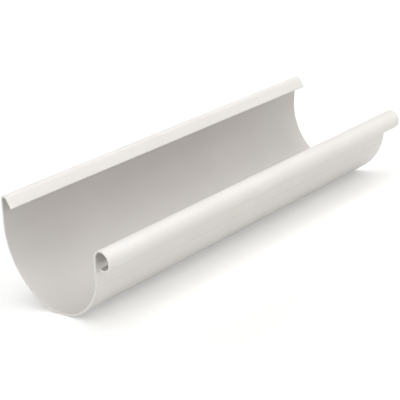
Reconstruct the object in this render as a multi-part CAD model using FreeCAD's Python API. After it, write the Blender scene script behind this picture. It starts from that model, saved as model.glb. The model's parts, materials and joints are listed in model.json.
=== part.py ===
import FreeCAD, Part
import math
import os

# One straight length of deep half-round roof gutter, extruded in one piece.
#
# Millimetres and degrees. X runs along the gutter, -Y is the front with its
# rolled bead, +Y is the rear with its folded flange, and Z is up. The section
# is drawn level, with the half round's centre above the origin, and then rolled
# about that centre to the attitude in which it lies unheld on a floor.

# ---- Driving dimensions

LENGTH = 422.0

# Wall and half round
WALL = 2.0
OUTER_RADIUS = 65.0

# Rear edge: upright wall, fold and flange
REAR_RISE = 26.4
FOLD_INNER_RADIUS = 3.0
FOLD_SWEEP = 141.0
FLANGE_WIDTH = 9.4

# Front edge: small inward step, upright wall and rolled bead
STEP_RISE = 1.0
STEP_OFFSET = 0.8
STEP_INNER_RADIUS = 5.0
BEAD_RISE = 11.0
BEAD_INNER_RADIUS = 8.1
BEAD_SWEEP = 283.0

# ---- Dependent values

HALF_WALL = WALL / 2


def point(y, z):
    """A point of the section plane."""
    return FreeCAD.Vector(0, y, z)


def onward(heading):
    """The unit vector of a heading: 0 is straight up, and a left turn adds to it."""
    angle = math.radians(heading)
    return point(-math.sin(angle), math.cos(angle))


def leftward(heading):
    """The unit vector that points to the left of a heading."""
    angle = math.radians(heading)
    return point(-math.cos(angle), -math.sin(angle))


def beside(place, heading, offset):
    """The point at an offset to the left of a place on the wall's middle line."""
    return place + leftward(heading) * offset


def turn_about(centre, place, angle):
    """A place after a turn about a centre in the section plane."""
    arm = place - centre
    turn = FreeCAD.Rotation(FreeCAD.Vector(1, 0, 0), angle)
    return centre + turn.multVec(arm)


def straight(place, heading, length):
    """Both faces of a straight run of wall, and where its middle line ends."""
    end = place + onward(heading) * length
    faces = []
    for side in (HALF_WALL, -HALF_WALL):
        line = Part.LineSegment(beside(place, heading, side), beside(end, heading, side))
        faces.append(line.toShape())
    return faces, end, heading


def bend(place, heading, inner_radius, angle):
    """Both faces of a round bend, and where its middle line ends.

    A positive angle bends to the left. The radius is that of the hollow face.
    """
    radius = inner_radius + HALF_WALL
    centre = beside(place, heading, math.copysign(radius, angle))
    middle = turn_about(centre, place, angle / 2)
    end = turn_about(centre, place, angle)
    faces = []
    for side in (HALF_WALL, -HALF_WALL):
        arc = Part.Arc(
            beside(place, heading, side),
            beside(middle, heading + angle / 2, side),
            beside(end, heading + angle, side),
        )
        faces.append(arc.toShape())
    return faces, end, heading + angle


def rounded_end(place, heading):
    """The half circle that closes a free edge of the wall."""
    tip = place + onward(heading) * HALF_WALL
    left = beside(place, heading, HALF_WALL)
    right = beside(place, heading, -HALF_WALL)
    return Part.Arc(left, tip, right).toShape()


def half_round():
    """The outer and inner faces of the trough's half circle."""
    centre = point(0, OUTER_RADIUS)
    faces = []
    for radius in (OUTER_RADIUS, OUTER_RADIUS - WALL):
        across = point(radius, 0)
        lowest = centre - point(0, radius)
        faces.append(Part.Arc(centre + across, lowest, centre - across).toShape())
    return faces


def rear_edge():
    """The rear wall, folded over at its top into a flange that slopes down inwards."""
    place = point(OUTER_RADIUS - HALF_WALL, OUTER_RADIUS)
    wall, place, heading = straight(place, 0, REAR_RISE)
    fold, place, heading = bend(place, heading, FOLD_INNER_RADIUS, FOLD_SWEEP)
    flange, place, heading = straight(place, heading, FLANGE_WIDTH)
    return wall + fold + flange + [rounded_end(place, heading)]


def step_angle():
    """How far each of the step's two equal bends turns to shift the wall by its offset."""
    return math.degrees(math.acos(1 - STEP_OFFSET / (2 * (STEP_INNER_RADIUS + HALF_WALL))))


def front_edge():
    """The front wall, stepped inwards and rolled outwards into an open bead."""
    place = point(HALF_WALL - OUTER_RADIUS, OUTER_RADIUS)
    foot, place, heading = straight(place, 0, STEP_RISE)
    step_in, place, heading = bend(place, heading, STEP_INNER_RADIUS, -step_angle())
    step_up, place, heading = bend(place, heading, STEP_INNER_RADIUS, step_angle())
    wall, place, heading = straight(place, heading, BEAD_RISE)
    bead, place, heading = bend(place, heading, BEAD_INNER_RADIUS, BEAD_SWEEP)
    return foot + step_in + step_up + wall + bead + [rounded_end(place, heading)]


def level_section():
    """The face of the whole section, as it hangs in use."""
    edges = half_round() + rear_edge() + front_edge()
    return Part.Face(Part.Wire(Part.__sortEdges__(edges)))


def rest_angle(section):
    """How far the gutter rolls to bring its centre of mass under the half round's centre."""
    balance = section.CenterOfMass
    return math.degrees(math.atan2(-balance.y, OUTER_RADIUS - balance.z))


def lie_at_rest(section):
    """The section rolled to its rest, with the middle of its underside at the origin."""
    centre = point(0, OUTER_RADIUS)
    resting = section.copy()
    resting.rotate(centre, FreeCAD.Vector(1, 0, 0), rest_angle(section))
    box = resting.optimalBoundingBox(False, False)
    resting.translate(-point(box.Center.y, box.ZMin))
    return resting


def gutter_section():
    """The section pulled out to the gutter's length, half of it each way from the origin."""
    section = lie_at_rest(level_section())
    section.translate(FreeCAD.Vector(-LENGTH / 2, 0, 0))
    return section.extrude(FreeCAD.Vector(LENGTH, 0, 0))


os.makedirs("parts", exist_ok=True)
gutter_section().exportStep("parts/gutter_section.step")
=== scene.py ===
"""Looks of one straight length of deep half-round roof gutter, extruded in white PVC-U."""
import json
import logging
import math
from dataclasses import dataclass
from enum import Enum
from typing import Any, Iterator

import bpy
from mathutils import Matrix, Vector


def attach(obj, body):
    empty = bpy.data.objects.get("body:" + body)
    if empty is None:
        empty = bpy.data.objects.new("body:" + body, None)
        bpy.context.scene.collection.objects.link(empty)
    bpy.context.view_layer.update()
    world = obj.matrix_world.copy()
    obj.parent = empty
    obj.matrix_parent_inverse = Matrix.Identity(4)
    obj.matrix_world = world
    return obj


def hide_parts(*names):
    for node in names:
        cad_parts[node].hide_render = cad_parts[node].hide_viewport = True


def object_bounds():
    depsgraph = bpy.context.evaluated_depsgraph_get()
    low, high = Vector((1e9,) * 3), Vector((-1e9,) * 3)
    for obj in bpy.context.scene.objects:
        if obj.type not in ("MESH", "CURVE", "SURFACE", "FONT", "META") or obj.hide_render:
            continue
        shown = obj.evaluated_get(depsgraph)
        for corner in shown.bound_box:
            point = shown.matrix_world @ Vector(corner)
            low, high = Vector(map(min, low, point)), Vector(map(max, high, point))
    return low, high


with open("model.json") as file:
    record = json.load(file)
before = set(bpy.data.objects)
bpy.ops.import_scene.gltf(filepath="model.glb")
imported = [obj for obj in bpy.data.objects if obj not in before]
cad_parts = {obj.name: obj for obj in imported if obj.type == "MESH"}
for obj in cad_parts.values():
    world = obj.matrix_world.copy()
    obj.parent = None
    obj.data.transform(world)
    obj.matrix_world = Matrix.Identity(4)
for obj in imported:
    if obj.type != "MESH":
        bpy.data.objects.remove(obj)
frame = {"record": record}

CAD_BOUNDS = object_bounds()
MM = 0.001
# The sRGB curve: a straight toe, and a power curve above it.
SRGB_TOE = 0.04045
SRGB_TOE_SLOPE = 12.92
SRGB_OFFSET = 0.055
SRGB_POWER = 2.4
# At a scale of 1 the Wave texture repeats after this length.
WAVE_LENGTH = 2 * math.pi / 20
LOG = logging.getLogger("gutter_section")


# ---- Small helpers


def linear(hex_colour: str) -> tuple[float, float, float, float]:
    """Turns an sRGB colour into the linear colour that a shader takes.

    Args:
        hex_colour: Six hex digits, with or without a leading hash.

    Returns:
        Linear red, green and blue, and an alpha of 1.
    """
    red, green, blue = (
        c / SRGB_TOE_SLOPE if c <= SRGB_TOE else ((c + SRGB_OFFSET) / (1 + SRGB_OFFSET)) ** SRGB_POWER
        for c in (byte / 255 for byte in bytes.fromhex(hex_colour.lstrip("#")))
    )
    return (red, green, blue, 1.0)


def add_node(
    tree: bpy.types.NodeTree, kind: str, links: dict[str, Any] | None = None, **settings: Any
) -> bpy.types.Node:
    """Adds one shader node with its settings, socket values and links.

    Args:
        tree: The node tree that the node goes into.
        kind: The node's type name.
        links: What each input takes: an output socket to link, or a value to set.
        **settings: Properties of the node itself.

    Returns:
        The new node.
    """
    node = tree.nodes.new(kind)
    for name, value in settings.items():
        setattr(node, name, value)
    for name, source in (links or {}).items():
        socket = node.inputs[int(name)] if name.isdigit() else node.inputs[name]
        if isinstance(source, bpy.types.NodeSocket):
            tree.links.new(source, socket)
        else:
            socket.default_value = source
    return node


def empty_material(name: str) -> bpy.types.Material:
    """Makes a material whose node tree is empty."""
    material = bpy.data.materials.new(name)
    material.use_nodes = True
    material.node_tree.nodes.clear()
    return material


def mount_position(name: str) -> Vector:
    """Where one of the record's mounts is, in metres."""
    mount = next(m for m in frame["record"]["mounts"] if m["name"] == name)
    return Vector(mount["pos_m"])


# ---- Finishes


def seen_directly(tree: bpy.types.NodeTree) -> bpy.types.NodeSocket:
    """Tells the rays that show a surface as it is from those that only carry its light.

    Args:
        tree: The node tree that asks.

    Returns:
        1 for camera, glossy and transmission rays, and 0 for diffuse and shadow rays.
    """
    path = add_node(tree, "ShaderNodeLightPath").outputs
    mirrored = add_node(
        tree,
        "ShaderNodeMath",
        {"0": path["Is Glossy Ray"], "1": path["Is Transmission Ray"]},
        operation="MAXIMUM",
    ).outputs[0]
    return add_node(
        tree,
        "ShaderNodeMath",
        {"0": path["Is Camera Ray"], "1": mirrored},
        operation="MAXIMUM",
    ).outputs[0]


@dataclass(frozen=True)
class ExtrudedPvc:
    """PVC-U as it leaves the extrusion die: smooth, with a soft gloss.

    The die's land leaves faint lines along the length, which break up a highlight
    without being seen one by one. The melt gives a very slight cloudiness. Both noises
    run about their middle, so only the stretch from low to high is used.
    """

    name: str
    base: str
    shade: str
    roughness: float
    roughness_spread: float = 0.03
    ior: float = 1.53
    line_spacing_mm: float = 1.4
    line_run_mm: float = 1500.0
    line_depth_mm: float = 0.005
    line_detail: float = 3.0
    line_grain: float = 0.6
    cloud_size_mm: float = 55.0
    cloud_detail: float = 2.0
    noise_low: float = 0.32
    noise_high: float = 0.68

    def material(self) -> bpy.types.Material:
        """Builds the finish.

        Returns:
            The material, in metres of object space.
        """
        material = empty_material(self.name)
        tree = material.node_tree
        place = add_node(tree, "ShaderNodeTexCoord").outputs["Object"]
        across = 1 / (self.line_spacing_mm * MM)
        along = 1 / (self.line_run_mm * MM)
        stretched = add_node(
            tree, "ShaderNodeMapping", {"Vector": place, "Scale": (along, across, across)}
        ).outputs["Vector"]
        lines = add_node(
            tree,
            "ShaderNodeTexNoise",
            {
                "Vector": stretched,
                "Scale": 1.0,
                "Detail": self.line_detail,
                "Roughness": self.line_grain,
            },
        ).outputs[0]
        clouds = add_node(
            tree,
            "ShaderNodeTexNoise",
            {
                "Vector": place,
                "Scale": 1 / (self.cloud_size_mm * MM),
                "Detail": self.cloud_detail,
            },
        ).outputs[0]
        tint = add_node(
            tree,
            "ShaderNodeMapRange",
            {"Value": clouds, "From Min": self.noise_low, "From Max": self.noise_high},
        ).outputs[0]
        colour = add_node(
            tree,
            "ShaderNodeMix",
            {"0": tint, "6": linear(self.base), "7": linear(self.shade)},
            data_type="RGBA",
        ).outputs[2]
        gloss = add_node(
            tree,
            "ShaderNodeMapRange",
            {
                "Value": lines,
                "From Min": self.noise_low,
                "From Max": self.noise_high,
                "To Min": self.roughness - self.roughness_spread,
                "To Max": self.roughness + self.roughness_spread,
            },
        ).outputs[0]
        relief = add_node(
            tree,
            "ShaderNodeBump",
            {"Height": lines, "Strength": 1.0, "Distance": self.line_depth_mm * MM},
        ).outputs[0]
        surface = add_node(
            tree,
            "ShaderNodeBsdfPrincipled",
            {"Base Color": colour, "Roughness": gloss, "Normal": relief, "IOR": self.ior},
        )
        add_node(tree, "ShaderNodeOutputMaterial", {"Surface": surface.outputs[0]})
        return material


@dataclass(frozen=True)
class SawnPvc:
    """PVC-U cut square with a fine-toothed saw: matt, and a little chalky.

    The teeth leave close parallel marks across the edge, which scatter the light, so
    the cut shows as a paler, duller line than the extruded faces beside it.
    """

    name: str = "white_pvc_sawn"
    base: str = "#F3F0EB"
    shade: str = "#E4E0DA"
    ior: float = 1.53
    roughness: float = 0.62
    mark_spacing_mm: float = 0.9
    mark_depth_mm: float = 0.03
    mark_lean_degrees: float = 24.0
    mark_distortion: float = 3.0
    mark_detail: float = 3.0
    mark_detail_scale: float = 2.0
    mark_strength: float = 0.6

    def material(self) -> bpy.types.Material:
        """Builds the finish.

        Returns:
            The material, in metres of object space.
        """
        material = empty_material(self.name)
        tree = material.node_tree
        place = add_node(tree, "ShaderNodeTexCoord").outputs["Object"]
        lean = math.radians(self.mark_lean_degrees)
        turned = add_node(
            tree, "ShaderNodeMapping", {"Vector": place, "Rotation": (lean, 0.0, 0.0)}
        ).outputs["Vector"]
        marks = add_node(
            tree,
            "ShaderNodeTexWave",
            {
                "Vector": turned,
                "Scale": WAVE_LENGTH / (self.mark_spacing_mm * MM),
                "Distortion": self.mark_distortion,
                "Detail": self.mark_detail,
                "Detail Scale": self.mark_detail_scale,
            },
            wave_type="BANDS",
            bands_direction="Z",
        ).outputs[1]
        colour = add_node(
            tree,
            "ShaderNodeMix",
            {"0": marks, "6": linear(self.shade), "7": linear(self.base)},
            data_type="RGBA",
        ).outputs[2]
        relief = add_node(
            tree,
            "ShaderNodeBump",
            {
                "Height": marks,
                "Strength": self.mark_strength,
                "Distance": self.mark_depth_mm * MM,
            },
        ).outputs[0]
        surface = add_node(
            tree,
            "ShaderNodeBsdfPrincipled",
            {"Base Color": colour, "Roughness": self.roughness, "Normal": relief, "IOR": self.ior},
        )
        add_node(tree, "ShaderNodeOutputMaterial", {"Surface": surface.outputs[0]})
        return material


class Face(Enum):
    """The faces of the gutter, by their place in its list of materials."""

    CALIBRATED = 0
    # The inside faces, whose finish carries painted shade.
    AIR_COOLED = 1
    SAWN = 2


# Faces that are drawn along the calibrator's polished walls come out glossy: the
# whole outer face, with the folded flange, and the round outside of the bead. The trough,
# the flange's underside and the bead's hollow cool free in the air, so they stay duller.
# Their colour is painted greyer as well: painted shade on the inside faces.
FINISHES = {
    Face.CALIBRATED: ExtrudedPvc(
        "white_pvc_calibrated", base="#EDEAE6", shade="#E9E5E1", roughness=0.30
    ),
    # Painted shade: this greyer base and shade darken the inside faces to stand in for shade in the
    # trough and hollow.
    Face.AIR_COOLED: ExtrudedPvc(
        "white_pvc_inside_painted_shade", base="#D6D2CF", shade="#D2CECA", roughness=0.50
    ),
    Face.SAWN: SawnPvc(),
}


# ---- The gutter


@dataclass(frozen=True)
class Station:
    """A place on the middle line of the wall, in millimetres of the section plane.

    The calibrated face is the left one, and where the wall is rolled into the bead, the
    right one. A share under 1 narrows the wall, to round a free edge.
    """

    y: float
    z: float
    heading: float
    share: float = 1.0
    rolled: bool = False

    def sides(self, half_wall: float) -> tuple[tuple[float, float], tuple[float, float]]:
        """The wall's two faces at this place.

        Args:
            half_wall: Half the wall's thickness.

        Returns:
            The points to the left and to the right of the middle line.
        """
        reach = half_wall * self.share
        dy, dz = -math.cos(self.heading) * reach, -math.sin(self.heading) * reach
        return (self.y + dy, self.z + dz), (self.y - dy, self.z - dz)


@dataclass
class Walker:
    """Walks along the wall's middle line and notes the stations that its shape needs.

    Headings are in radians. 0 is straight up, and a turn to the left adds to it.
    """

    y: float
    z: float
    heading: float
    step_degrees: float
    stations: list[Station]
    rolled: bool = False

    def note(self) -> None:
        """Notes the place where the walk is now."""
        self.stations.append(Station(self.y, self.z, self.heading, rolled=self.rolled))

    def straight(self, length: float, parts: int = 1) -> None:
        """Walks straight on.

        Args:
            length: How far, in millimetres.
            parts: How many equal parts it is divided into.
        """
        for _ in range(parts):
            self.y -= math.sin(self.heading) * length / parts
            self.z += math.cos(self.heading) * length / parts
            self.note()

    def bend(self, radius: float, degrees: float) -> None:
        """Walks round a bend.

        Args:
            radius: The middle line's radius, in millimetres.
            degrees: How far it turns: to the left if positive.
        """
        parts = max(2, math.ceil(abs(degrees) / self.step_degrees))
        turn = math.radians(degrees) / parts
        chord = 2 * radius * math.sin(abs(turn) / 2)
        for _ in range(parts):
            self.heading += turn / 2
            self.y -= math.sin(self.heading) * chord
            self.z += math.cos(self.heading) * chord
            self.heading += turn / 2
            self.note()


@dataclass
class GutterSection:
    """The extruded gutter: half round, folded rear flange and rolled front bead.

    Sizes are in millimetres and degrees, and are those of the real section. The mesh
    keeps a hair's clearance inside the solid's faces, so that its box stays in the solid's.
    """

    length: float = 422.0
    wall: float = 2.0
    outer_radius: float = 65.0
    rear_rise: float = 26.4
    fold_inner_radius: float = 3.0
    fold_sweep: float = 141.0
    flange_width: float = 9.4
    step_rise: float = 1.0
    step_offset: float = 0.8
    step_inner_radius: float = 5.0
    bead_rise: float = 11.0
    bead_inner_radius: float = 8.1
    bead_sweep: float = 283.0
    arris_radius: float = 0.3
    arris_parts: int = 4
    arris_margin: float = 1.5
    ring_spacing: float = 10.0
    clearance: float = 0.02
    fold_step_degrees: float = 6.0
    bead_step_degrees: float = 3.0
    trough_step_degrees: float = 1.5
    rear_parts: int = 6
    flange_parts: int = 4
    front_parts: int = 4
    edge_parts: int = 6
    node: str = "gutter_section"

    def middle_radius(self, inner_radius: float) -> float:
        """The middle line's radius in a bend whose hollow face has the given radius."""
        return inner_radius + self.wall / 2

    def step_angle(self) -> float:
        """How far each of the step's two bends turns, in radians."""
        return math.acos(1 - self.step_offset / (2 * self.middle_radius(self.step_inner_radius)))

    def middle_line(self) -> list[Station]:
        """The wall's middle line, from the flange's free edge to the bead's.

        Returns:
            The stations in order, drawn level with the half round's lowest point at the origin.
        """
        middle = self.outer_radius - self.wall / 2
        rear = Walker(middle, self.outer_radius, 0.0, self.fold_step_degrees, [])
        rear.straight(self.rear_rise, self.rear_parts)
        rear.bend(self.middle_radius(self.fold_inner_radius), self.fold_sweep)
        rear.straight(self.flange_width, self.flange_parts)
        front = Walker(-middle, self.outer_radius, 0.0, self.bead_step_degrees, [])
        front.straight(self.step_rise)
        step = math.degrees(self.step_angle())
        front.bend(self.middle_radius(self.step_inner_radius), -step)
        front.bend(self.middle_radius(self.step_inner_radius), step)
        front.straight(self.bead_rise, self.front_parts)
        front.rolled = True
        front.bend(self.middle_radius(self.bead_inner_radius), self.bead_sweep)
        trough = Walker(middle, self.outer_radius, math.pi, self.trough_step_degrees, [])
        trough.note()
        trough.bend(middle, -180.0)
        backwards = [Station(s.y, s.z, s.heading + math.pi) for s in reversed(rear.stations)]
        whole = backwards + trough.stations + front.stations
        return self.rounded(whole[0], -1)[::-1] + whole + self.rounded(whole[-1], 1)

    def rounded(self, edge: Station, way: int) -> list[Station]:
        """The half circle that closes a free edge of the wall.

        Args:
            edge: The last full station.
            way: 1 if the edge lies onward of it, and -1 if it lies behind.

        Returns:
            Stations from the edge to its tip, narrowing to nothing.
        """
        stations, parts = [], self.edge_parts
        half = self.wall / 2 - self.clearance
        for i in range(1, parts + 1):
            angle = math.pi / 2 * i / parts
            reach = way * half * math.sin(angle)
            y = edge.y - math.sin(edge.heading) * reach
            z = edge.z + math.cos(edge.heading) * reach
            share = math.cos(angle) if i < parts else 0.0
            stations.append(Station(y, z, edge.heading, share, edge.rolled))
        return stations

    def placed(self) -> Matrix:
        """The turn and shift from the level drawing to how the gutter lies in its frame.

        Returns:
            A matrix for points in millimetres. It is worked out from the record's mounts.
        """
        seat = mount_position("bracket_seat") / MM
        centre = Vector((0, seat.y, seat.z + self.outer_radius))
        level_centre = Vector((0, 0, self.outer_radius))
        drawn = Vector((0, *self.bead_centre_level())) - level_centre
        lying = mount_position("bead_hollow") / MM - centre
        angle = math.atan2(lying.z, lying.y) - math.atan2(drawn.z, drawn.y)
        roll = Matrix.Rotation(angle, 4, "X")
        return Matrix.Translation(centre) @ roll @ Matrix.Translation(-level_centre)

    def bead_centre_level(self) -> tuple[float, float]:
        """The centre of the bead's roll in the level drawing."""
        wall_line = -self.outer_radius + self.wall / 2 + self.step_offset
        step_height = 2 * self.middle_radius(self.step_inner_radius) * math.sin(self.step_angle())
        y = wall_line - self.middle_radius(self.bead_inner_radius)
        z = self.outer_radius + self.step_rise + step_height + self.bead_rise
        return y, z

    def rings(self) -> Iterator[tuple[float, float]]:
        """Where the section is repeated along the length.

        Yields:
            The place along the gutter, and how much thinner each face of the wall is there.
        """
        half, radius = self.length / 2 - self.clearance, self.arris_radius
        ends = []
        for i in range(self.arris_parts + 1):
            angle = math.pi / 2 * i / self.arris_parts
            ends.append((half - radius * (1 - math.sin(angle)), radius * (1 - math.cos(angle))))
        inner = half - radius - self.arris_margin
        count = round(2 * inner / self.ring_spacing)
        middle = [(-inner + 2 * inner * i / count, 0.0) for i in range(count + 1)]
        yield from ((-x, cut) for x, cut in reversed(ends))
        yield from middle
        yield from ends

    def build(self) -> bpy.types.Object:
        """Builds the mesh.

        Returns:
            The gutter, in metres of the part's frame.
        """
        line, place = self.middle_line(), self.placed()
        last = len(line) - 1
        loop = [(i, 0) for i in range(last + 1)] + [(i, 1) for i in range(last - 1, 0, -1)]
        vertices = []
        for x, cut in self.rings():
            half_wall = self.wall / 2 - self.clearance - cut
            for i, side in loop:
                y, z = line[i].sides(half_wall)[side]
                vertices.append(place @ Vector((x, y, z)) * MM)
        last_ring = len(vertices) // len(loop) - 1
        faces, kinds = self.drawn_faces(line, loop, last_ring)
        for ring in (0, last_ring):
            ends = self.sawn_faces(last, ring * len(loop), ring == 0)
            faces += ends
            kinds += [Face.SAWN] * len(ends)
        mesh = bpy.data.meshes.new("gutter")
        mesh.from_pydata(vertices, [], faces)
        for polygon, kind in zip(mesh.polygons, kinds):
            polygon.material_index = kind.value
            polygon.use_smooth = kind is not Face.SAWN
        mesh.validate()
        mesh.update()
        gutter = bpy.data.objects.new("gutter", mesh)
        bpy.context.scene.collection.objects.link(gutter)
        return gutter

    @staticmethod
    def drawn_faces(
        line: list[Station], loop: list[tuple[int, int]], last_ring: int
    ) -> tuple[list[tuple[int, ...]], list[Face]]:
        """The faces along the length, from ring to ring.

        Args:
            line: The stations of the middle line.
            loop: Once round the section: each corner's station, and 0 for its left face
                or 1 for its right face.
            last_ring: The number of the last ring.

        Returns:
            The faces, as corner numbers, and the kind of each.
        """
        faces, kinds = [], []
        size, last = len(loop), len(line) - 1
        for ring in range(last_ring):
            here, there = ring * size, (ring + 1) * size
            for k in range(size):
                n = (k + 1) % size
                faces.append((here + k, there + k, there + n, here + n))
                onward = line[max(loop[k][0], loop[n][0])]
                # Inside faces take the finish whose greyer colour is painted shade.
                calibrated = (k < last) != onward.rolled
                kinds.append(Face.CALIBRATED if calibrated else Face.AIR_COOLED)
        return faces, kinds

    @staticmethod
    def sawn_faces(last: int, first_corner: int, forward: bool) -> list[tuple[int, ...]]:
        """The faces that close one end, in strips across the wall.

        Args:
            last: The number of the last station.
            first_corner: The number of the end ring's first corner.
            forward: Whether a face's corners run the way that the middle line does.

        Returns:
            The faces, as corner numbers. The two at the free edges are triangles.
        """
        size = 2 * last
        faces = []
        for i in range(last):
            corners = list(dict.fromkeys([i, i + 1, size - i - 1, (size - i) % size]))
            ordered = corners if forward else reversed(corners)
            faces.append(tuple(first_corner + c for c in ordered))
        return faces

    def dress(self, gutter: bpy.types.Object) -> None:
        """Gives the gutter its finishes and its place in the frame.

        Args:
            gutter: The mesh that build() made.
        """
        for face in Face:
            gutter.data.materials.append(FINISHES[face].material())
        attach(gutter, "root")
        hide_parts(self.node)


# ---- The studio


@dataclass(frozen=True)
class Floor:
    """A white studio floor that shows plain white but keeps the object's soft shadow."""

    half_width: float = 6.0
    colour: str = "#E8E8E6"
    lift: float = 0.295

    def build(self) -> None:
        """Builds the floor as stage."""
        lowest = CAD_BOUNDS[0].z
        w = self.half_width
        mesh = bpy.data.meshes.new("floor")
        corners = [(-w, -w, lowest), (w, -w, lowest), (w, w, lowest), (-w, w, lowest)]
        mesh.from_pydata(corners, [], [(0, 1, 2, 3)])
        floor = bpy.data.objects.new("floor", mesh)
        bpy.context.scene.collection.objects.link(floor)
        floor.data.materials.append(self.material())

    def material(self) -> bpy.types.Material:
        """Matt white paint, lifted for the direct view so that it reaches white.

        Returns:
            The material.
        """
        material = empty_material("matt_white_floor_paint")
        tree = material.node_tree
        lift = add_node(
            tree, "ShaderNodeMath", {"0": seen_directly(tree), "1": self.lift}, operation="MULTIPLY"
        ).outputs[0]
        paint = add_node(tree, "ShaderNodeBsdfDiffuse", {"Color": linear(self.colour)}).outputs[0]
        glow = add_node(tree, "ShaderNodeEmission", {"Strength": lift}).outputs[0]
        both = add_node(tree, "ShaderNodeAddShader", {"0": paint, "1": glow}).outputs[0]
        add_node(tree, "ShaderNodeOutputMaterial", {"Surface": both})
        return material


@dataclass(frozen=True)
class Surround:
    """The white room round the object: white where it is seen, and no light of its own."""

    colour: str = "#FFFFFF"

    def build(self) -> None:
        """Builds the world."""
        world = bpy.data.worlds.new("surround")
        bpy.context.scene.world = world
        world.use_nodes = True
        tree = world.node_tree
        tree.nodes.clear()
        sky = add_node(
            tree,
            "ShaderNodeBackground",
            {"Color": linear(self.colour), "Strength": seen_directly(tree)},
        ).outputs[0]
        add_node(tree, "ShaderNodeOutputWorld", {"Surface": sky})


@dataclass(frozen=True)
class SoftLamp:
    """A distant soft lamp, which lights the object and the whole floor evenly.

    A level of 1 shows a white face that looks straight at the lamp as just white. A lamp
    behind a polarising sheet lights a face but leaves no glare on it.
    """

    name: str
    azimuth: float
    elevation: float
    level: float
    spread: float = 30.0
    polarised: bool = False

    def build(self) -> None:
        """Hangs the lamp."""
        data = bpy.data.lights.new(self.name, "SUN")
        data.energy = math.pi * self.level
        data.angle = math.radians(self.spread)
        lamp = bpy.data.objects.new(self.name, data)
        away = direction(self.azimuth, self.elevation)
        lamp.rotation_euler = (-away).to_track_quat("-Z", "Y").to_euler()
        lamp.visible_glossy = not self.polarised
        bpy.context.scene.collection.objects.link(lamp)


def direction(azimuth: float, elevation: float) -> Vector:
    """The unit vector from the object towards a viewer or a lamp.

    Args:
        azimuth: Degrees round the object: 0 is in front of it, on the -Y side.
        elevation: Degrees above the horizon.

    Returns:
        The vector.
    """
    a, e = math.radians(azimuth), math.radians(elevation)
    return Vector((math.sin(a) * math.cos(e), -math.cos(a) * math.cos(e), math.sin(e)))


@dataclass(frozen=True)
class Viewer:
    """The camera: where it stands, what it looks at, and how it is held.

    The section is usually drawn and hung level. It lies here rolled towards its bead,
    so the camera is rolled with it, to show the gutter as it looks when it hangs level.
    """

    azimuth: float = -42.28
    elevation: float = 17.33
    roll: float = -10.57
    distance_mm: float = 1058.8
    aim_right_mm: float = -19.57
    aim_up_mm: float = -16.74
    lens_mm: float = 94.29
    sensor_mm: float = 36.0
    nearest: float = 0.05
    furthest: float = 50.0

    def build(self, middle: Vector) -> None:
        """Sets up the scene's camera.

        Args:
            middle: The middle of the object's box.
        """
        away = direction(self.azimuth, self.elevation)
        upright = (-away).to_track_quat("-Z", "Y").to_matrix()
        turn = upright @ Matrix.Rotation(math.radians(self.roll), 3, "Z")
        aim = turn @ Vector((self.aim_right_mm, self.aim_up_mm, 0.0)) * MM
        data = bpy.data.cameras.new("viewer")
        data.lens = self.lens_mm
        data.sensor_width = self.sensor_mm
        data.clip_start = self.nearest
        data.clip_end = self.furthest
        camera = bpy.data.objects.new("viewer", data)
        stand = middle + aim + away * self.distance_mm * MM
        camera.matrix_world = Matrix.Translation(stand) @ turn.to_4x4()
        bpy.context.scene.collection.objects.link(camera)
        bpy.context.scene.camera = camera


LAMPS = (
    SoftLamp("near_upper", azimuth=312.0, elevation=67.0, level=0.36, spread=50.0),
    SoftLamp("far_upper", azimuth=40.0, elevation=50.0, level=0.28, spread=50.0),
    SoftLamp("rear_upper", azimuth=110.0, elevation=65.0, level=0.20, spread=50.0),
    SoftLamp("low_rear", azimuth=180.0, elevation=22.0, level=0.30),
    SoftLamp("low_front", azimuth=0.0, elevation=15.0, level=0.27),
    SoftLamp("near_end", azimuth=275.0, elevation=6.0, level=0.35, spread=20.0, polarised=True),
)


def main() -> None:
    """Builds the gutter, dresses it and sets the studio round it."""
    logging.basicConfig(level=logging.INFO, format="%(name)s: %(message)s")
    bpy.context.scene.view_settings.view_transform = "Standard"
    section = GutterSection()
    gutter = section.build()
    section.dress(gutter)
    LOG.info("%s: %d faces", gutter.name, len(gutter.data.polygons))
    middle = (CAD_BOUNDS[0] + CAD_BOUNDS[1]) / 2
    Floor().build()
    Surround().build()
    for lamp in LAMPS:
        lamp.build()
    Viewer().build(middle)


if __name__ == "__main__":
    main()
